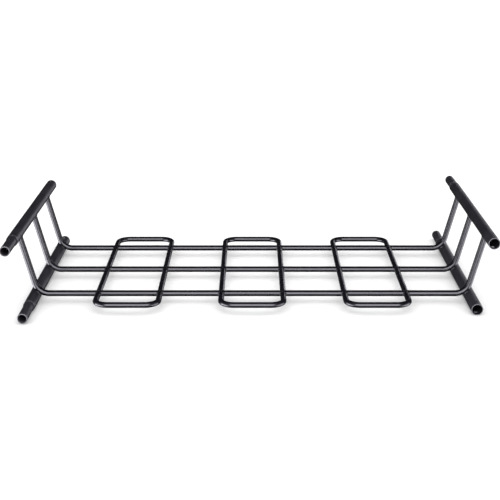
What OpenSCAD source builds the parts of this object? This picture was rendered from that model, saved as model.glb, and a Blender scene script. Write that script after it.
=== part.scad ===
// Centre section of a sectional steel roof cargo basket.
// Three U-bent floor bars run across it and two pairs of round rails run front to back.
// Three flat loops, let in between the floor bars, stiffen the floor.
// Each rail has a rolled-down spigot at one end and an open socket at the other,
// so that the section plugs in between the front and rear baskets.
// +X is right, +Y is rearward, +Z is up. The lower rails stand on Z = 0.

/* [Overall] */
// Width over the upper rails
overall_w = 990; // [800:1:1300]
// Height from the underside of the lower rails to the top of the upper rails
overall_h = 164; // [120:1:300]

/* [Rails] */
// Outside diameter of the rail tube
rail_od = 24; // [18:0.5:32]
// Wall of the rail tube
rail_wall = 1.5; // [1:0.1:2.5]
// Distance from the middle bar to the mouth of a rail's socket
socket_reach = 242; // [205:1:400]
// Distance from the middle bar to the full-size end of the rail tube at its spigot
tube_reach = 223; // [205:1:400]
// Length of the tapered shoulder between the tube and its spigot
shoulder_len = 9; // [4:1:20]
// Length of the parallel part of a spigot
spigot_len = 62; // [30:1:100]
// Wall of the rolled-down spigot
spigot_wall = 1.6; // [1:0.1:2.5]
// Radial gap between a spigot and the socket that it enters
spigot_gap = 0.15; // [0.05:0.05:0.5]
// Bevel on the tip of a spigot
spigot_lead = 0.8; // [0.3:0.1:1]
// Bevel on the outside of a socket's mouth
mouth_bevel = 0.4; // [0.2:0.1:0.8]

/* [Bolt holes] */
// Diameter of the upright bolt holes through sockets and spigots
bolt_hole_d = 6.6; // [4:0.1:9]
// Distance from a socket's mouth to the middle of its bolt hole
bolt_inset = 15; // [10:1:28]

/* [Floor bars] */
// Diameter of the rod that a floor bar is bent from
bar_d = 12.7; // [10:0.1:18]
// Distance between neighbouring floor bars
bar_spacing = 160; // [100:1:190]
// Bend radius of a floor bar, at the middle of the rod
bar_bend_r = 30; // [22:1:50]
// Outward lean of the uprights, in degrees
upright_lean = 14.5; // [5:0.5:22]
// Angle round the bend at which the lower rail bears, in degrees from straight down
rail_seat_angle = 41; // [30:1:55]

/* [Floor loops] */
// Diameter of the rod that a loop is made from
loop_d = 12; // [8:0.1:17]
// Distance between neighbouring loops
loop_spacing = 258; // [190:1:300]
// Width of a loop, between the middles of its legs
loop_w = 129; // [90:1:150]
// How far a loop stands out past the outer floor bars, middle to middle
loop_reach = 72; // [50:1:120]
// Corner radius of a loop, at the middle of the rod
loop_corner_r = 27; // [15:1:40]

/* [Welds] */
// Leg of the weld round the top of an upright
weld_leg = 2.4; // [1.5:0.1:4]
// Radius of the weld nugget between a bar and a lower rail
nugget_r = 7.5; // [6:0.1:9]
// Gap that the nugget fills between a bar and a lower rail
root_gap = 0.2; // [0.1:0.05:0.5]

/* [Hidden] */
$fn = 72;

LEFT = -1;
RIGHT = 1;
FRONT = -1;
REAR = 1;
// The three rows of floor bars, in bar spacings from the middle one
ROWS = [-1, 0, 1];
STEEL = [0.13, 0.13, 0.15];
WELD = [0.22, 0.22, 0.24];

rail_r = rail_od / 2;
socket_r = rail_r - rail_wall;
spigot_r = socket_r - spigot_gap;
bar_r = bar_d / 2;
loop_r = loop_d / 2;

// Where the rail's tube, shoulder and spigot end, from the middle bar
shoulder_end = tube_reach + shoulder_len;
spigot_reach = shoulder_end + spigot_len;
// A socket's mouth comes to rest where the shoulder has grown to the socket's bore
seat_reach = shoulder_end - shoulder_len * spigot_gap / (rail_r - spigot_r);

// Whole microns, so that a bend meets the straight rod exactly
function to_micron(length) = round(length * 1000) / 1000;

// Upper rails, from the overall sizes
upper_x = overall_w / 2 - rail_r;
upper_z = overall_h - rail_r;

// Floor bars: the height at which the lower rails, under the bends, stand on Z = 0
seat_r = bar_bend_r + bar_r + root_gap + rail_r;
bar_z = to_micron(rail_r - bar_bend_r + seat_r * cos(rail_seat_angle));
bend_turn = 90 - upright_lean;
// Where the line of an upright would cross the line of the floor
crossing_x = upper_x - (upper_z - bar_z) * tan(upright_lean);
bend_x = to_micron(crossing_x - bar_bend_r * tan(bend_turn / 2));
bend_z = bar_z + bar_bend_r;
upright_foot_z = bend_z - bar_bend_r * sin(upright_lean);
upright_len = (upper_z - upright_foot_z) / cos(upright_lean);

// Lower rails, tucked under the bends
lower_x = bend_x + seat_r * sin(rail_seat_angle);
lower_z = rail_r;
// Middle of the gap between a bend and its lower rail
touch_r = bar_bend_r + bar_r + root_gap / 2;

// Corner fillets where a loop meets a floor bar: how far they fill the corners, and how high
fillet_fill = 0.8;
fillet_share = 0.7;
fillet_r = norm([bar_r, loop_r]) + fillet_fill * weld_leg;
fillet_h = fillet_share * min(bar_d, loop_d);

// The upright starts a little inside the bend and is a hair slimmer than it,
// so that the two join into one solid
upright_lap = 0.3;
upright_step = 0.05;
upright_r = bar_r - upright_step;

// Length of a form that cuts a cope or a hole, well past what it cuts
form_len = 4 * max(rail_od, bar_d, loop_d);
// Number of facets round the rods, and along the bends and round the nuggets that touch the rails
ROD_FACETS = 72;
BEND_FACETS = 180;
NUGGET_FACETS = 90;
// A nugget is turned about the line from bar to rail, so that its facets straddle the rod's plane
NUGGET_TWIST = 45;

// One rail along Y, with its spigot pointing to the rear
module rail() {
    spigot_bore_r = spigot_r - spigot_wall;
    difference() {
        rotate([-90, 0, 0])
            rotate_extrude()
                polygon([
                    [socket_r, -socket_reach],
                    [rail_r - mouth_bevel, -socket_reach],
                    [rail_r, mouth_bevel - socket_reach],
                    [rail_r, tube_reach],
                    [spigot_r, shoulder_end],
                    [spigot_r, spigot_reach - spigot_lead],
                    [spigot_r - spigot_lead, spigot_reach],
                    [spigot_bore_r, spigot_reach],
                    [spigot_bore_r, shoulder_end],
                    [socket_r, tube_reach]
                ]);
        for (y = [bolt_inset - socket_reach, seat_reach + bolt_inset])
            translate([0, y, 0])
                cylinder(d = bolt_hole_d, h = form_len, center = true);
    }
}

// The right-hand rails point their spigots to the rear, the left-hand ones to the front
module placed_rail(side, x, z) {
    color(STEEL)
        translate([side * x, 0, z])
            rotate([0, 0, side == RIGHT ? 0 : 180])
                rail();
}

// Solid rod of an upper rail's outside, to shape what is welded to it
module upper_rail_form(grow = 0) {
    translate([upper_x, 0, upper_z])
        rotate([90, 0, 0])
            cylinder(r = rail_r + grow, h = form_len, center = true);
}

// Places a bend or an upright: X runs out from the middle of the bend, and Y along the turned rod
module at_bend(turned = 0) {
    translate([bend_x, 0, bend_z])
        rotate([90, 0, 0])
            rotate([0, 0, turned - 90])
                children();
}

// Straight rod of a floor bar's upright, up to the middle of the upper rail
module upright(r) {
    at_bend(bend_turn)
        translate([bar_bend_r, -upright_lap, 0])
            rotate([-90, 0, 0])
                cylinder(r = r, h = upright_lap + upright_len);
}

// Bend between the floor and an upright
module bend() {
    at_bend()
        rotate_extrude(angle = bend_turn, $fn = BEND_FACETS)
            translate([bar_bend_r, 0])
                circle(r = bar_r, $fn = ROD_FACETS);
}

// One floor bar: a single rod with both ends turned up and coped to the upper rails
module floor_bar(y) {
    color(STEEL)
        translate([0, y, 0])
            union()
                for (side = [LEFT, RIGHT])
                    mirror([side == LEFT ? 1 : 0, 0, 0]) {
                        translate([0, 0, bar_z])
                            rotate([0, 90, 0])
                                cylinder(r = bar_r, h = bend_x);
                        bend();
                        difference() {
                            upright(upright_r);
                            upper_rail_form();
                        }
                    }
}

// Solid rod of a floor bar's straight middle, to cope the loops
module floor_bar_form(y) {
    translate([0, y, bar_z])
        rotate([0, 90, 0])
            cylinder(r = bar_r, h = overall_w, center = true);
}

// Rod along Y in the plane of the floor
module floor_rod(x, y_from, y_to) {
    translate([x, y_from, bar_z])
        rotate([-90, 0, 0])
            cylinder(r = loop_r, h = y_to - y_from);
}

// Bent end of a loop, outside the first or last floor bar
module loop_bow(x, end) {
    corner_x = loop_w / 2 - loop_corner_r;
    corner_y = bar_spacing + loop_reach - loop_corner_r;
    color(STEEL)
        mirror([0, end == FRONT ? 1 : 0, 0])
            difference() {
                union() {
                    translate([x, corner_y + loop_corner_r, bar_z])
                        rotate([0, 90, 0])
                            cylinder(r = loop_r, h = 2 * corner_x, center = true);
                    for (leg = [LEFT, RIGHT]) {
                        floor_rod(x + leg * loop_w / 2, bar_spacing, corner_y);
                        translate([x + leg * corner_x, corner_y, bar_z])
                            rotate([0, 0, leg == RIGHT ? 0 : 90])
                                rotate_extrude(angle = 90)
                                    translate([loop_corner_r, 0])
                                        circle(r = loop_r);
                    }
                }
                floor_bar_form(bar_spacing);
            }
}

// Straight leg of a loop between the middle floor bar and the front or rear one
module loop_rung(x, leg, end) {
    color(STEEL)
        mirror([0, end == FRONT ? 1 : 0, 0])
            difference() {
                floor_rod(x + leg * loop_w / 2, 0, bar_spacing);
                floor_bar_form(0);
                floor_bar_form(bar_spacing);
            }
}

// Fillets in the four corners of every crossing of one loop and the floor bars
module loop_welds(x) {
    color(WELD)
        for (leg = [LEFT, RIGHT], row = ROWS) {
            leg_x = x + leg * loop_w / 2;
            row_y = row * bar_spacing;
            difference() {
                translate([leg_x, row_y, bar_z])
                    cylinder(r = fillet_r, h = fillet_h, center = true);
                floor_bar_form(row_y);
                floor_rod(leg_x, row_y - form_len / 2, row_y + form_len / 2);
            }
        }
}

// Ring of weld round the top of each upright on one side
module upper_rail_welds(side) {
    color(WELD)
        mirror([side == LEFT ? 1 : 0, 0, 0])
            for (row = ROWS)
                translate([0, row * bar_spacing, 0])
                    difference() {
                        intersection() {
                            upright(upright_r + weld_leg);
                            upper_rail_form(weld_leg);
                        }
                        upper_rail_form();
                        upright(upright_r);
                    }
}

// Weld nugget between each bend and the lower rail on one side
module lower_rail_welds(side) {
    color(WELD)
        mirror([side == LEFT ? 1 : 0, 0, 0])
            for (row = ROWS)
                translate([0, row * bar_spacing, 0])
                    difference() {
                        at_bend(rail_seat_angle)
                            translate([touch_r, 0, 0])
                                rotate([0, 90, 0])
                                    rotate([0, 0, NUGGET_TWIST])
                                        sphere(r = nugget_r, $fn = NUGGET_FACETS);
                        bend();
                        translate([lower_x, 0, lower_z])
                            rotate([90, 0, 0])
                                cylinder(r = rail_r, h = form_len, center = true);
                    }
}

module upper_rail_left() placed_rail(LEFT, upper_x, upper_z);
module upper_rail_right() placed_rail(RIGHT, upper_x, upper_z);
module lower_rail_left() placed_rail(LEFT, lower_x, lower_z);
module lower_rail_right() placed_rail(RIGHT, lower_x, lower_z);

module floor_bar_front() floor_bar(-bar_spacing);
module floor_bar_middle() floor_bar(0);
module floor_bar_rear() floor_bar(bar_spacing);

module left_loop_front_bow() loop_bow(-loop_spacing, FRONT);
module left_loop_rear_bow() loop_bow(-loop_spacing, REAR);
module left_loop_rung_front_outer() loop_rung(-loop_spacing, LEFT, FRONT);
module left_loop_rung_front_inner() loop_rung(-loop_spacing, RIGHT, FRONT);
module left_loop_rung_rear_outer() loop_rung(-loop_spacing, LEFT, REAR);
module left_loop_rung_rear_inner() loop_rung(-loop_spacing, RIGHT, REAR);

module centre_loop_front_bow() loop_bow(0, FRONT);
module centre_loop_rear_bow() loop_bow(0, REAR);
module centre_loop_rung_front_left() loop_rung(0, LEFT, FRONT);
module centre_loop_rung_front_right() loop_rung(0, RIGHT, FRONT);
module centre_loop_rung_rear_left() loop_rung(0, LEFT, REAR);
module centre_loop_rung_rear_right() loop_rung(0, RIGHT, REAR);

module right_loop_front_bow() loop_bow(loop_spacing, FRONT);
module right_loop_rear_bow() loop_bow(loop_spacing, REAR);
module right_loop_rung_front_inner() loop_rung(loop_spacing, LEFT, FRONT);
module right_loop_rung_front_outer() loop_rung(loop_spacing, RIGHT, FRONT);
module right_loop_rung_rear_inner() loop_rung(loop_spacing, LEFT, REAR);
module right_loop_rung_rear_outer() loop_rung(loop_spacing, RIGHT, REAR);

module upper_rail_welds_left() upper_rail_welds(LEFT);
module upper_rail_welds_right() upper_rail_welds(RIGHT);
module lower_rail_welds_left() lower_rail_welds(LEFT);
module lower_rail_welds_right() lower_rail_welds(RIGHT);
module left_loop_welds() loop_welds(-loop_spacing);
module centre_loop_welds() loop_welds(0);
module right_loop_welds() loop_welds(loop_spacing);

upper_rail_left();
upper_rail_right();
lower_rail_left();
lower_rail_right();
floor_bar_front();
floor_bar_middle();
floor_bar_rear();
left_loop_front_bow();
left_loop_rear_bow();
left_loop_rung_front_outer();
left_loop_rung_front_inner();
left_loop_rung_rear_outer();
left_loop_rung_rear_inner();
centre_loop_front_bow();
centre_loop_rear_bow();
centre_loop_rung_front_left();
centre_loop_rung_front_right();
centre_loop_rung_rear_left();
centre_loop_rung_rear_right();
right_loop_front_bow();
right_loop_rear_bow();
right_loop_rung_front_inner();
right_loop_rung_front_outer();
right_loop_rung_rear_inner();
right_loop_rung_rear_outer();
upper_rail_welds_left();
upper_rail_welds_right();
lower_rail_welds_left();
lower_rail_welds_right();
left_loop_welds();
centre_loop_welds();
right_loop_welds();
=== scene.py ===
import math

import bmesh
import bpy
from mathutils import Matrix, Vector, noise


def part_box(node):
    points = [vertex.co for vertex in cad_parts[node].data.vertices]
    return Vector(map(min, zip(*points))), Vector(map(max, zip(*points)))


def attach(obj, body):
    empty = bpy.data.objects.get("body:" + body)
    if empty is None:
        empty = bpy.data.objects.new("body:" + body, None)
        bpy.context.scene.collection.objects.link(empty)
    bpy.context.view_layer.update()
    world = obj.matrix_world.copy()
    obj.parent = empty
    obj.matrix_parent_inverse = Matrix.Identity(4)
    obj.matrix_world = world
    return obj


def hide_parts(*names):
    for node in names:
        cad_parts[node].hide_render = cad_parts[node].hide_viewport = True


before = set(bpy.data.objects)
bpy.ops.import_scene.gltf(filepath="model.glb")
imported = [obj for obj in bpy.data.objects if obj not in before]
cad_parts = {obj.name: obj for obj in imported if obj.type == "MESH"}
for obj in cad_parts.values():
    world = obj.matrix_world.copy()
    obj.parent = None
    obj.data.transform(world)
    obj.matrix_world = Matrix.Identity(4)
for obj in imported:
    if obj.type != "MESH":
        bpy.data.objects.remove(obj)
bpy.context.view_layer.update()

# ---- Side rails ------------------------------------------------------------------------------
# Four lengths of thin-walled round steel tube, two above and two under the floor's bends.
# One end of each is rolled down to a spigot and the other is left open as its socket.
# Both ends are drilled straight down for a bolt, and the whole tube is powder coated black.
MM = 0.001
RAIL_WALL = 1.5 * MM
SPIGOT_R = 10.35 * MM
SPIGOT_WALL = 1.6 * MM
SPIGOT_LENGTH = 62 * MM
SHOULDER_LENGTH = 9 * MM
TIP_BEVEL = 0.8 * MM
MOUTH_ROUND = 0.35 * MM
BOLT_HOLE_R = 3.3 * MM
BOLT_FROM_MOUTH = 15 * MM
# The next section's mouth comes to rest this far short of the shoulder's root
SEAT_BACK = 0.8 * MM
RAIL_SIDES = 96
RIM_STEPS = 4
SHOULDER_STEPS = 12
SHOULDER_EASE = 0.8
TIP_STEPS = 3
HOLE_RING_STEP = 1.1 * MM
DRILL_SIDES = 48
DRILL_LENGTH = 60 * MM
# Edges sharper than this stay crisp
CREASE = math.radians(35)
# How far the coat is rubbed and painted lighter as a highlight on the rims, shoulders and tip, from 0
# where it is sound to 1 where it is rubbed hard and lightest
RIM_RUB_AND_HIGHLIGHT = 1.0
BEHIND_RIM_RUB_AND_HIGHLIGHT = 0.45
IN_MOUTH_RUB_AND_HIGHLIGHT = 0.4
SHOULDER_TOP_RUB_AND_HIGHLIGHT = 0.8
SHOULDER_RUB_AND_HIGHLIGHT = 0.1
SHOULDER_ROOT_RUB_AND_HIGHLIGHT = 0.35
SPIGOT_RUB_AND_HIGHLIGHT = 0.25
SPIGOT_END_RUB_AND_HIGHLIGHT = 0.3
BEHIND_TIP_RUB_AND_HIGHLIGHT = 0.6
IN_TIP_RUB_AND_HIGHLIGHT = 0.7


def smooth_steel(mesh):
    """Smooth skin with the drilled and cut edges left crisp."""
    mesh.shade_smooth()
    mesh.set_sharp_from_angle(angle=CREASE)


def new_piece(name, bm):
    """Turns a bmesh into a piece that rides on the section's one body."""
    bmesh.ops.recalc_face_normals(bm, faces=bm.faces)
    mesh = bpy.data.meshes.new(name)
    bm.to_mesh(mesh)
    bm.free()
    smooth_steel(mesh)
    piece = bpy.data.objects.new(name, mesh)
    bpy.context.scene.collection.objects.link(piece)
    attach(piece, "root")
    return piece


def hole_rings(radius, hole, rub_and_highlight, way=1):
    """Close-set rings round a bolt hole, so that its drilled edge comes out clean."""
    return [(radius, hole + way * step * HOLE_RING_STEP, rub_and_highlight) for step in range(-5, 6)]


def rail_profile(half_od, mouth, tip):
    """Radius, place along the rail and rubbing with painted highlight of each ring of the tube, once
    round its wall.
    """
    bore = half_od - RAIL_WALL
    spigot_bore = SPIGOT_R - SPIGOT_WALL
    root = tip - SPIGOT_LENGTH
    tube_end = root - SHOULDER_LENGTH
    socket_hole = mouth + BOLT_FROM_MOUTH
    spigot_hole = root - SEAT_BACK + BOLT_FROM_MOUTH
    rim_middle = half_od - RAIL_WALL / 2
    rings = []

    # The rim, shoulder and tip rings get the highest rub values. These paint a highlight line where
    # those curved edges catch light, as well as marking rubbed coat.
    for step in range(RIM_STEPS + 1):
        turn = math.pi * step / RIM_STEPS
        radius = rim_middle - RAIL_WALL / 2 * math.cos(turn)
        rings.append((radius, mouth + MOUTH_ROUND * (1 - math.sin(turn)), RIM_RUB_AND_HIGHLIGHT))
    rings.append((half_od, mouth + 1.6 * MM, BEHIND_RIM_RUB_AND_HIGHLIGHT))
    rings += hole_rings(half_od, socket_hole, 0.0)
    for share in (0.2, 0.4, 0.6, 0.8, 0.97):
        rings.append((half_od, socket_hole + (tube_end - socket_hole) * share, 0.0))

    for step in range(SHOULDER_STEPS + 1):
        share = step / SHOULDER_STEPS
        ease = share - SHOULDER_EASE * math.sin(2 * math.pi * share) / (2 * math.pi)
        radius = half_od + (SPIGOT_R - half_od) * ease
        rub_and_highlight = SHOULDER_RUB_AND_HIGHLIGHT
        if step < 2:
            rub_and_highlight = SHOULDER_TOP_RUB_AND_HIGHLIGHT
        elif step > SHOULDER_STEPS - 3:
            rub_and_highlight = SHOULDER_ROOT_RUB_AND_HIGHLIGHT
        rings.append((radius, tube_end + SHOULDER_LENGTH * share, rub_and_highlight))

    rings += hole_rings(SPIGOT_R, spigot_hole, SPIGOT_RUB_AND_HIGHLIGHT)
    for share in (0.3, 0.55, 0.8):
        place = spigot_hole + (tip - TIP_BEVEL - spigot_hole) * share
        rings.append((SPIGOT_R, place, SPIGOT_END_RUB_AND_HIGHLIGHT))
    rings.append((SPIGOT_R, tip - TIP_BEVEL - 0.6 * MM, BEHIND_TIP_RUB_AND_HIGHLIGHT))
    for step in range(TIP_STEPS + 1):
        turn = math.pi / 2 * step / TIP_STEPS
        radius = SPIGOT_R - TIP_BEVEL * (1 - math.cos(turn))
        rings.append((radius, tip - TIP_BEVEL * (1 - math.sin(turn)), RIM_RUB_AND_HIGHLIGHT))
    rings.append((spigot_bore + 0.15 * MM, tip, RIM_RUB_AND_HIGHLIGHT))

    rings.append((spigot_bore, tip - 0.3 * MM, IN_TIP_RUB_AND_HIGHLIGHT))
    rings += hole_rings(spigot_bore, spigot_hole, 0.0, way=-1)
    rings.append((spigot_bore, root, 0.0))
    rings.append((bore, tube_end, 0.0))
    rings += hole_rings(bore, socket_hole, 0.0, way=-1)
    rings.append((bore, mouth + 1.2 * MM, IN_MOUTH_RUB_AND_HIGHLIGHT))
    return rings


def lathe_tube(rings, sides, centre_x, centre_z, spigot_way):
    """Spins the rings into a closed tube lying along Y, with the rubbing and painted highlight kept per
    corner point.
    """
    bm = bmesh.new()
    rub_and_highlight_mask = bm.verts.layers.float.new("edge_rub_and_highlight")
    loops = []
    for radius, along, rub_and_highlight in rings:
        ring = []
        for step in range(sides):
            turn = 2 * math.pi * step / sides
            x = centre_x + radius * math.cos(turn)
            z = centre_z + radius * math.sin(turn)
            vert = bm.verts.new((x, along * spigot_way, z))
            vert[rub_and_highlight_mask] = rub_and_highlight
            ring.append(vert)
        loops.append(ring)
    for here, there in zip(loops, loops[1:] + loops[:1]):
        for step in range(sides):
            after = (step + 1) % sides
            bm.faces.new((here[step], here[after], there[after], there[step]))
    return bm


def drill_down(piece, x, y, z):
    """Drills both walls of a tube with one upright hole."""
    bpy.ops.mesh.primitive_cylinder_add(vertices=DRILL_SIDES, radius=BOLT_HOLE_R,
                                        depth=DRILL_LENGTH, location=(x, y, z))
    drill = bpy.context.object
    cut = piece.modifiers.new("bolt hole", "BOOLEAN")
    cut.operation = "DIFFERENCE"
    cut.solver = "EXACT"
    cut.object = drill
    bpy.context.view_layer.objects.active = piece
    bpy.ops.object.modifier_apply(modifier=cut.name)
    bpy.data.objects.remove(drill)


PATCHES_PER_M = 22.0
SCUFF_AND_HIGHLIGHT_NOISE_PER_M = 420.0
# Shades of the coat's own tone, in its darker and its lighter patches
DARK_PATCH = (0.72, 0.72, 0.74)
LIGHT_PATCH = (1.3, 1.3, 1.32)
GLOSSIER = 0.04
DULLER = 0.05
PEEL_STRENGTH = 0.15


def coat_paint(name, tone, sheen_rough, peel, peel_depth, rub_and_highlight_tone):
    """Powder coat: orange-peel skin, soft patches of shade and gloss, and rubbed edges that also carry
    a painted highlight.
    """
    paint = bpy.data.materials.new(name)
    paint.use_nodes = True
    nodes, links = paint.node_tree.nodes, paint.node_tree.links
    shader = nodes["Principled BSDF"]
    shader.inputs["IOR"].default_value = 1.5
    shader.inputs["Specular IOR Level"].default_value = 0.5
    shader.inputs["Coat Weight"].default_value = 0.0
    place = nodes.new("ShaderNodeTexCoord")

    patches = nodes.new("ShaderNodeTexNoise")
    patches.inputs["Scale"].default_value = PATCHES_PER_M
    patches.inputs["Detail"].default_value = 5.0
    links.new(place.outputs["Object"], patches.inputs["Vector"])

    grain = nodes.new("ShaderNodeTexNoise")
    grain.inputs["Scale"].default_value = 1.0 / peel
    grain.inputs["Detail"].default_value = 3.0
    grain.inputs["Roughness"].default_value = 0.6
    links.new(place.outputs["Object"], grain.inputs["Vector"])

    colour = nodes.new("ShaderNodeValToRGB")
    colour.color_ramp.elements[0].position = 0.3
    colour.color_ramp.elements[0].color = [t * k for t, k in zip(tone, DARK_PATCH)] + [1]
    colour.color_ramp.elements[1].position = 0.72
    colour.color_ramp.elements[1].color = [t * k for t, k in zip(tone, LIGHT_PATCH)] + [1]
    links.new(patches.outputs["Fac"], colour.inputs["Fac"])

    # This mask lightens the coat at the rims, shoulders and tip: partly rubbed coat, partly a painted
    # highlight standing for the light these edges catch.
    rub_and_highlight_mask = nodes.new("ShaderNodeAttribute")
    rub_and_highlight_mask.attribute_name = "edge_rub_and_highlight"
    scuff_and_highlight_noise = nodes.new("ShaderNodeTexNoise")
    scuff_and_highlight_noise.inputs["Scale"].default_value = SCUFF_AND_HIGHLIGHT_NOISE_PER_M
    scuff_and_highlight_noise.inputs["Detail"].default_value = 6.0
    links.new(place.outputs["Object"], scuff_and_highlight_noise.inputs["Vector"])
    rub_and_highlight = nodes.new("ShaderNodeMath")
    rub_and_highlight.operation = "MULTIPLY"
    links.new(rub_and_highlight_mask.outputs["Fac"], rub_and_highlight.inputs[0])
    links.new(scuff_and_highlight_noise.outputs["Fac"], rub_and_highlight.inputs[1])
    rub_and_highlight_edge = nodes.new("ShaderNodeMapRange")
    rub_and_highlight_edge.inputs["From Min"].default_value = 0.22
    rub_and_highlight_edge.inputs["From Max"].default_value = 0.62
    links.new(rub_and_highlight.outputs[0], rub_and_highlight_edge.inputs["Value"])
    rubbed_and_highlighted = nodes.new("ShaderNodeMix")
    rubbed_and_highlighted.data_type = "RGBA"
    rubbed_and_highlighted.inputs["B"].default_value = (*rub_and_highlight_tone, 1)
    links.new(rub_and_highlight_edge.outputs["Result"], rubbed_and_highlighted.inputs["Factor"])
    links.new(colour.outputs["Color"], rubbed_and_highlighted.inputs["A"])
    links.new(rubbed_and_highlighted.outputs["Result"], shader.inputs["Base Color"])

    gloss = nodes.new("ShaderNodeMapRange")
    gloss.inputs["From Min"].default_value = 0.3
    gloss.inputs["From Max"].default_value = 0.7
    gloss.inputs["To Min"].default_value = sheen_rough - GLOSSIER
    gloss.inputs["To Max"].default_value = sheen_rough + DULLER
    links.new(patches.outputs["Fac"], gloss.inputs["Value"])
    links.new(gloss.outputs["Result"], shader.inputs["Roughness"])

    skin = nodes.new("ShaderNodeBump")
    skin.inputs["Strength"].default_value = PEEL_STRENGTH
    skin.inputs["Distance"].default_value = peel_depth
    links.new(grain.outputs["Fac"], skin.inputs["Height"])
    links.new(skin.outputs["Normal"], shader.inputs["Normal"])
    return paint


# Its rubbed tone is also the colour of the painted highlight on the rims, shoulders and tip.
rail_coat = coat_paint("rail coat", tone=(0.022, 0.0205, 0.028), sheen_rough=0.42,
                       peel=1.6 * MM, peel_depth=0.14 * MM, rub_and_highlight_tone=(0.20, 0.195, 0.215))

for level in ("upper", "lower"):
    for side, spigot_way in (("left", -1), ("right", 1)):
        node = f"{level}_rail_{side}"
        low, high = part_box(node)
        centre_x = (low[0] + high[0]) / 2
        centre_z = (low[2] + high[2]) / 2
        half_od = (high[2] - low[2]) / 2
        ends = sorted((abs(low[1]), abs(high[1])))
        mouth, tip = -ends[0], ends[1]
        rings = rail_profile(half_od, mouth, tip)
        tube = new_piece(f"{side}_{level}_rail_tube",
                         lathe_tube(rings, RAIL_SIDES, centre_x, centre_z, spigot_way))
        for seat in (mouth, tip - SPIGOT_LENGTH - SEAT_BACK):
            hole = seat + BOLT_FROM_MOUTH
            drill_down(tube, centre_x, hole * spigot_way, centre_z)
        smooth_steel(tube.data)
        tube.data.materials.append(rail_coat)
        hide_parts(node)

# ---- Floor bars ------------------------------------------------------------------------------
# Three solid rods, each bent up at both ends in one plane. The turned-up ends lean outward
# and are coped to fit under the upper rails. The bends rest on the lower rails.
BEND_R = 30 * MM
LEAN = math.radians(14.5)
ROD_SIDES = 48
BEND_STEPS = 24
# A coped end reaches this far into the skin that it is welded to
SKIN_LAP = 0.15 * MM
upper_low, upper_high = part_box("upper_rail_right")
UPPER_X = (upper_low[0] + upper_high[0]) / 2
UPPER_Z = (upper_low[2] + upper_high[2]) / 2
RAIL_R = (upper_high[2] - upper_low[2]) / 2
bar_low, bar_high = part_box("floor_bar_middle")
BAR_R = (bar_high[1] - bar_low[1]) / 2
FLOOR_Z = bar_low[2] + BAR_R


def sweep_rod(places, headings, radius, square_to, start_shape, end_shape):
    """Runs a round rod along a flat path. A shape function sets an end back to fit what it meets."""
    bm = bmesh.new()
    rub_and_highlight_mask = bm.verts.layers.float.new("edge_rub_and_highlight")
    last = len(places) - 1
    rings = []
    for index, (place, heading) in enumerate(zip(places, headings)):
        across = square_to.normalized()
        along = heading.normalized()
        up = along.cross(across)
        ring = []
        for step in range(ROD_SIDES):
            turn = 2 * math.pi * step / ROD_SIDES
            aside, above = radius * math.cos(turn), radius * math.sin(turn)
            point = place + across * aside + up * above
            if index == 0:
                point += along * start_shape(aside, above)
            if index == last:
                point -= along * end_shape(aside, above)
            vert = bm.verts.new(point)
            vert[rub_and_highlight_mask] = 0.0
            ring.append(vert)
        rings.append(ring)
    for here, there in zip(rings, rings[1:]):
        for step in range(ROD_SIDES):
            after = (step + 1) % ROD_SIDES
            bm.faces.new((here[step], here[after], there[after], there[step]))
    for end, shape, way in ((0, start_shape, 1), (-1, end_shape, -1)):
        ring = rings[end]
        middle = bm.verts.new(places[end] + headings[end].normalized() * (way * shape(0, 0)))
        for step in range(ROD_SIDES):
            bm.faces.new((ring[step], ring[(step + 1) % ROD_SIDES], middle))
    return bm


def coped_to(tube_r, off_across):
    """How far a rod's end stands back from a round tube's middle line, at each point of its rim."""
    def set_back(across, up):
        aside = across if off_across else up
        return math.sqrt(max(tube_r * tube_r - aside * aside, 0.0)) - SKIN_LAP
    return set_back


bend_turn = math.pi / 2 - LEAN
crossing_x = UPPER_X - (UPPER_Z - FLOOR_Z) * math.tan(LEAN)
BEND_X = crossing_x - BEND_R * math.tan(bend_turn / 2)
bend_middle = Vector((BEND_X, 0, FLOOR_Z + BEND_R))


def bar_path():
    """Middle line of a floor bar from the left upper rail to the right one, with its headings."""
    half = []
    for share in (0.0, 0.25, 0.5, 0.75, 0.97):
        half.append((Vector((BEND_X * share, 0, FLOOR_Z)), Vector((1, 0, 0))))
    for step in range(BEND_STEPS + 1):
        turn = bend_turn * step / BEND_STEPS
        out = Vector((math.sin(turn), 0, -math.cos(turn)))
        half.append((bend_middle + out * BEND_R, Vector((math.cos(turn), 0, math.sin(turn)))))
    foot, way = half[-1]
    top = Vector((UPPER_X, 0, UPPER_Z))
    for share in (0.1, 0.35, 0.6, 0.8, 1.0):
        half.append((foot.lerp(top, share), way))
    other = [(Vector((-p.x, 0, p.z)), Vector((h.x, 0, -h.z))) for p, h in reversed(half[1:])]
    return other + half


rod_coat = coat_paint("rod coat", tone=(0.0055, 0.005, 0.0085), sheen_rough=0.25,
                      peel=1.3 * MM, peel_depth=0.10 * MM, rub_and_highlight_tone=(0.09, 0.09, 0.095))
bar_rows = {}
for row in ("front", "middle", "rear"):
    node = f"floor_bar_{row}"
    low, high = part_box(node)
    bar_rows[row] = (low[1] + high[1]) / 2
    path = bar_path()
    slide = Vector((0, bar_rows[row], 0))
    fit = coped_to(RAIL_R, off_across=False)
    rod = new_piece(f"{row}_floor_bar",
                    sweep_rod([p + slide for p, h in path], [h for p, h in path], BAR_R,
                              Vector((0, 1, 0)), fit, fit))
    rod.data.materials.append(rod_coat)
    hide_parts(node)

# ---- Floor loops -----------------------------------------------------------------------------
# Three long flat loops of slightly thinner rod, made level with the floor bars. Each is let in
# between the bars as two bent ends and four straight rungs, all coped to the bars and welded.
LOOP_CORNER_R = 27 * MM
CORNER_STEPS = 20
loop_fit = coped_to(BAR_R, off_across=True)
loop_places = {}


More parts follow.
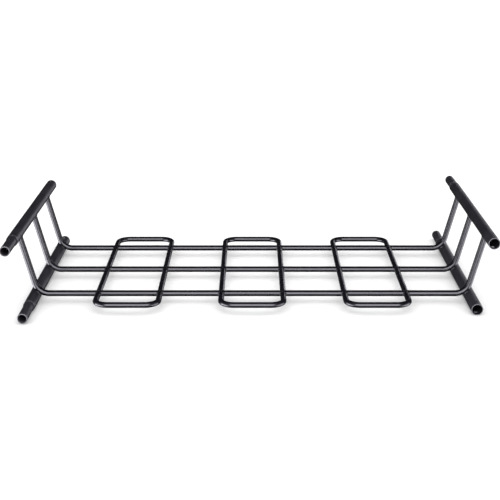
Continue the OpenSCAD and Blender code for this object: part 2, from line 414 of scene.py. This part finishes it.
def bow_path(loop_x, half_w, bar_y, far_y, way):
    """Middle line of a loop's bent end, out from the bar, across and back."""
    corner_x = loop_x + half_w - LOOP_CORNER_R
    corner_y = far_y - LOOP_CORNER_R * way
    end_way = Vector((1, 0, 0))
    leg_way = Vector((0, -way, 0))
    right = [(Vector((loop_x, far_y, FLOOR_Z)), end_way)]
    near_corner_x = loop_x + (half_w - LOOP_CORNER_R) * 0.9
    right.append((Vector((near_corner_x, far_y, FLOOR_Z)), end_way))
    for step in range(CORNER_STEPS + 1):
        turn = math.pi / 2 * step / CORNER_STEPS
        x = corner_x + LOOP_CORNER_R * math.sin(turn)
        y = corner_y + LOOP_CORNER_R * way * math.cos(turn)
        heading = Vector((math.cos(turn), -way * math.sin(turn), 0))
        right.append((Vector((x, y, FLOOR_Z)), heading))
    for y in ((corner_y + bar_y) / 2, bar_y):
        right.append((Vector((loop_x + half_w, y, FLOOR_Z)), leg_way))
    left = []
    for place, heading in reversed(right[1:]):
        mirrored = Vector((2 * loop_x - place.x, place.y, place.z))
        left.append((mirrored, Vector((heading.x, -heading.y, 0))))
    return left + right


for loop in ("left", "centre", "right"):
    rear_low, rear_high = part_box(f"{loop}_loop_rear_bow")
    loop_r = (rear_high[2] - rear_low[2]) / 2
    loop_x = (rear_low[0] + rear_high[0]) / 2
    half_w = (rear_high[0] - rear_low[0]) / 2 - loop_r
    loop_places[loop] = (loop_x, half_w, loop_r)
    for end, way in (("front", -1), ("rear", 1)):
        far_y = (rear_high[1] - loop_r) * way
        path = bow_path(loop_x, half_w, bar_rows[end], far_y, way)
        bow = new_piece(f"{loop}_loop_{end}_bend",
                        sweep_rod([p for p, h in path], [h for p, h in path], loop_r,
                                  Vector((0, 0, 1)), loop_fit, loop_fit))
        bow.data.materials.append(rod_coat)
        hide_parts(f"{loop}_loop_{end}_bow")

for node in [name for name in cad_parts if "_rung_" in name]:
    low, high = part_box(node)
    rung_x = (low[0] + high[0]) / 2
    rung_r = (high[0] - low[0]) / 2
    from_y, to_y = 0.0, bar_rows["rear"]
    if low[1] < -rung_r:
        from_y, to_y = bar_rows["front"], 0.0
    stations = []
    for share in (0, 0.1, 0.5, 0.9, 1):
        stations.append(Vector((rung_x, from_y + (to_y - from_y) * share, FLOOR_Z)))
    rung = new_piece(f"{node}_rod",
                     sweep_rod(stations, [Vector((0, 1, 0))] * len(stations), rung_r,
                               Vector((0, 0, 1)), loop_fit, loop_fit))
    rung.data.materials.append(rod_coat)
    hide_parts(node)

# ---- Welds -----------------------------------------------------------------------------------
# Electric-arc beads laid in short overlapping puddles, so that their skin is rippled. They
# run round the top of each upright, round each coped loop end, and where a bend sits on its rail.
RIPPLE = 1.7 * MM
RIPPLE_STEPS = 6
BEAD_SIDES = 10
# Shares of a bead's full thickness: in the valley between two puddles, and added by a puddle
VALLEY = 0.86
PUDDLE = 0.2
# The welder's hand: how far the thickness wanders, and over how short a way
WANDER = 0.12
WANDERS_PER_M = 260
# A bead's middle line stands this far off the joint
STAND_OFF = 0.1 * MM
UPRIGHT_STAND_OFF = 0.15 * MM
UPRIGHT_BEAD_R = 1.15 * MM
SEAT_BEAD_LAP = 0.55 * MM
LEG_BEAD_R = 0.45 * MM
LEG_CORNER_BEAD_R = 1.05 * MM


def lay_bead(bm, track, thickness, ripple_count):
    """Closed bead along a closed track. Its thickness follows the joint and swells at each puddle."""
    steps = ripple_count * RIPPLE_STEPS
    points = [track(2 * math.pi * step / steps) for step in range(steps)]
    rings = []
    for step in range(steps):
        turn = 2 * math.pi * step / steps
        ahead = points[(step + 1) % steps] - points[step - 1]
        ahead.normalize()
        outward = points[step] - sum(points, Vector()) / steps
        outward = (outward - ahead * outward.dot(ahead)).normalized()
        upward = ahead.cross(outward)
        phase = (ripple_count * turn / (2 * math.pi)) % 1.0
        wander = noise.noise(points[step] * WANDERS_PER_M) * WANDER
        swell = VALLEY + PUDDLE * math.sqrt(max(0.0, 1 - (2 * phase - 1) ** 2)) + wander
        reach = thickness(turn) * swell
        ring = []
        for side in range(BEAD_SIDES):
            angle = 2 * math.pi * side / BEAD_SIDES
            ring.append(bm.verts.new(points[step] + outward * (reach * math.cos(angle))
                                     + upward * (reach * math.sin(angle))))
        rings.append(ring)
    for step in range(steps):
        here, there = rings[step], rings[(step + 1) % steps]
        for side in range(BEAD_SIDES):
            after = (side + 1) % BEAD_SIDES
            bm.faces.new((here[side], here[after], there[after], there[side]))


def finish_beads(name, bm, node):
    """Coats a group of beads and stands them in for the plain fillets."""
    beads = new_piece(name, bm)
    beads.data.materials.append(bead_coat)
    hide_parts(node)


bead_coat = coat_paint("bead coat", tone=(0.010, 0.0095, 0.0135), sheen_rough=0.32,
                       peel=0.9 * MM, peel_depth=0.12 * MM, rub_and_highlight_tone=(0.09, 0.09, 0.095))
lean_way = Vector((math.sin(LEAN), 0, math.cos(LEAN)))
lean_side = Vector((math.cos(LEAN), 0, -math.sin(LEAN)))

for side, way in (("left", -1), ("right", 1)):
    beads = bmesh.new()
    for row_y in bar_rows.values():
        def upright_track(turn, row_y=row_y, way=way):
            skin = BAR_R + UPRIGHT_STAND_OFF
            aside = skin * math.sin(turn)
            back = math.sqrt(RAIL_R * RAIL_R - aside * aside) + STAND_OFF
            place = Vector((UPPER_X, row_y, UPPER_Z)) - lean_way * back + lean_side * aside
            place += Vector((0, skin * math.cos(turn), 0))
            return Vector((place.x * way, place.y, place.z))
        lay_bead(beads, upright_track, lambda turn: UPRIGHT_BEAD_R, round(2 * math.pi * BAR_R / RIPPLE))
    finish_beads(f"{side}_upright_weld_beads", beads, f"upper_rail_welds_{side}")

lower_low, lower_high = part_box("lower_rail_right")
LOWER_X = (lower_low[0] + lower_high[0]) / 2
LOWER_Z = (lower_low[2] + lower_high[2]) / 2
seat_way = (Vector((LOWER_X, 0, LOWER_Z)) - bend_middle).normalized()
seat_along = Vector((-seat_way.z, 0, seat_way.x))
seat_place = bend_middle + seat_way * (BEND_R + BAR_R)
SEAT_BEAD_R = 5.2 * MM


def seat_gap(turn):
    """Place round a seat's bead, and how far the bar and the rail each fall away from it there."""
    across, along = SEAT_BEAD_R * math.cos(turn), SEAT_BEAD_R * math.sin(turn)
    to_bar = BAR_R - math.sqrt(BAR_R ** 2 - across ** 2) + along ** 2 / (2 * (BEND_R + BAR_R))
    to_rail = RAIL_R - math.sqrt(RAIL_R ** 2 - along ** 2)
    return across, along, to_bar, to_rail


def seat_bead(turn):
    """Thickness that fills the gap between a bend and its rail."""
    across, along, to_bar, to_rail = seat_gap(turn)
    return (to_bar + to_rail) / 2 + SEAT_BEAD_LAP


for side, way in (("left", -1), ("right", 1)):
    beads = bmesh.new()
    for row_y in bar_rows.values():
        def seat_track(turn, row_y=row_y, way=way):
            across, along, to_bar, to_rail = seat_gap(turn)
            place = seat_place + seat_along * along + seat_way * ((to_rail - to_bar) / 2)
            return Vector((place.x * way, row_y + across, place.z))
        lay_bead(beads, seat_track, seat_bead, round(2 * math.pi * SEAT_BEAD_R / RIPPLE))
    finish_beads(f"{side}_bend_weld_beads", beads, f"lower_rail_welds_{side}")


def leg_bead(turn):
    """Thin over and under a loop's leg, and full in the corners beside it."""
    return LEG_BEAD_R + LEG_CORNER_BEAD_R * math.cos(turn) ** 2


for loop, (loop_x, half_w, loop_r) in loop_places.items():
    beads = bmesh.new()
    leg_ripples = round(2 * math.pi * loop_r / RIPPLE)
    for leg_x in (loop_x - half_w, loop_x + half_w):
        for row_y in bar_rows.values():
            for way in (-1, 1):
                def leg_track(turn, leg_x=leg_x, row_y=row_y, way=way, loop_r=loop_r):
                    up = loop_r * math.sin(turn)
                    back = math.sqrt(BAR_R * BAR_R - up * up) + STAND_OFF
                    return Vector((leg_x + loop_r * math.cos(turn), row_y + way * back, FLOOR_Z + up))
                lay_bead(beads, leg_track, leg_bead, leg_ripples)
    finish_beads(f"{loop}_loop_weld_beads", beads, f"{loop}_loop_welds")

# ---- Floor of the studio ---------------------------------------------------------------------
# A plain pale floor, level with the undersides of the lower rails. It doesn't show in the
# paint's gloss or block the low panels, so the rods keep clean highlights.
FLOOR_HALF = 30
grid = bmesh.new()
bmesh.ops.create_grid(grid, x_segments=1, y_segments=1, size=FLOOR_HALF)
floor_mesh = bpy.data.meshes.new("studio_floor")
grid.to_mesh(floor_mesh)
grid.free()
floor = bpy.data.objects.new("studio_floor", floor_mesh)
bpy.context.scene.collection.objects.link(floor)
floor.visible_glossy = False
floor.visible_shadow = False
floor_paint = bpy.data.materials.new("floor paint")
floor_paint.use_nodes = True
floor_shader = floor_paint.node_tree.nodes["Principled BSDF"]
floor_shader.inputs["Base Color"].default_value = (0.96, 0.96, 0.96, 1)
floor_shader.inputs["Roughness"].default_value = 1.0
floor_shader.inputs["Specular IOR Level"].default_value = 0.0
floor_mesh.materials.append(floor_paint)

# ---- Light -----------------------------------------------------------------------------------
# White all-round light for the floor, which is dim in reflections, and six large soft panels:
# one in front, one behind, and a low one and a weaker fill at each side.
ROOM_GLOW = 1.3
REFLECTED_ROOM_GLOW = 0.02
world = bpy.data.worlds.new("studio")
bpy.context.scene.world = world
bpy.context.scene.view_settings.view_transform = "Standard"
world.use_nodes = True
air = world.node_tree
room = air.nodes["Background"]
room.inputs["Color"].default_value = (1, 1, 1, 1)
room.inputs["Strength"].default_value = ROOM_GLOW
dim = air.nodes.new("ShaderNodeBackground")
dim.inputs["Color"].default_value = (0.9, 0.92, 1, 1)
dim.inputs["Strength"].default_value = REFLECTED_ROOM_GLOW
ray = air.nodes.new("ShaderNodeLightPath")
choose = air.nodes.new("ShaderNodeMixShader")
air.links.new(ray.outputs["Is Glossy Ray"], choose.inputs["Fac"])
air.links.new(room.outputs[0], choose.inputs[1])
air.links.new(dim.outputs[0], choose.inputs[2])
air.links.new(choose.outputs[0], air.nodes["World Output"].inputs["Surface"])


def soft_panel(name, place, look_at, width, height, glow):
    """Large soft light that shows in the paint's gloss. Its face brightens in step with glow."""
    lamp = bpy.data.lights.new(name, "AREA")
    lamp.shape = "RECTANGLE"
    lamp.size = width
    lamp.size_y = height
    lamp.energy = glow * width * height * math.pi
    lamp.color = (0.93, 0.91, 1.0)
    panel = bpy.data.objects.new(name, lamp)
    panel.location = place
    panel.rotation_euler = (Vector(look_at) - Vector(place)).to_track_quat("-Z", "Y").to_euler()
    panel.visible_camera = False
    panel.visible_diffuse = False
    bpy.context.scene.collection.objects.link(panel)
    return panel


LEFT_END = (-0.45, 0, 0.08)
RIGHT_END = (0.45, 0, 0.08)
soft_panel("front panel", (0, -3.2, 0.95), look_at=(0, 0, 0.02), width=3.4, height=3.9, glow=8.0)
soft_panel("left panel", (-2.7, -0.75, -1.35), look_at=LEFT_END, width=3.6, height=1.7, glow=10.5)
soft_panel("right panel", (2.7, -0.75, -1.35), look_at=RIGHT_END, width=3.6, height=1.7, glow=6.5)
soft_panel("left fill panel", (-3.4, -0.8, 0.3), look_at=(0, 0, 0.1), width=2.6, height=1.1, glow=4.0)
soft_panel("right fill panel", (3.4, -0.8, 0.3), look_at=(0, 0, 0.1), width=2.6, height=1.1, glow=2.6)
soft_panel("back panel", (1.7, 4.4, -0.05), look_at=(0, 0, 0.08), width=1.3, height=1.8, glow=1.9)

# ---- Camera ----------------------------------------------------------------------------------
# Level from side to side, in front of the section and looking down on it a little.
CAMERA_BACK = 2.3753
CAMERA_ABOVE_BARS = 0.7877
LOOK_DOWN = math.radians(17.366)
camera = bpy.data.cameras.new("camera")
camera.sensor_width = 36
camera.lens = 80.61
camera.shift_x = -0.0045
camera.clip_end = 200
viewer = bpy.data.objects.new("camera", camera)
viewer.location = (0, -CAMERA_BACK, FLOOR_Z + CAMERA_ABOVE_BARS)
viewer.rotation_euler = (math.pi / 2 - LOOK_DOWN, 0, 0)
bpy.context.scene.collection.objects.link(viewer)
bpy.context.scene.camera = viewer
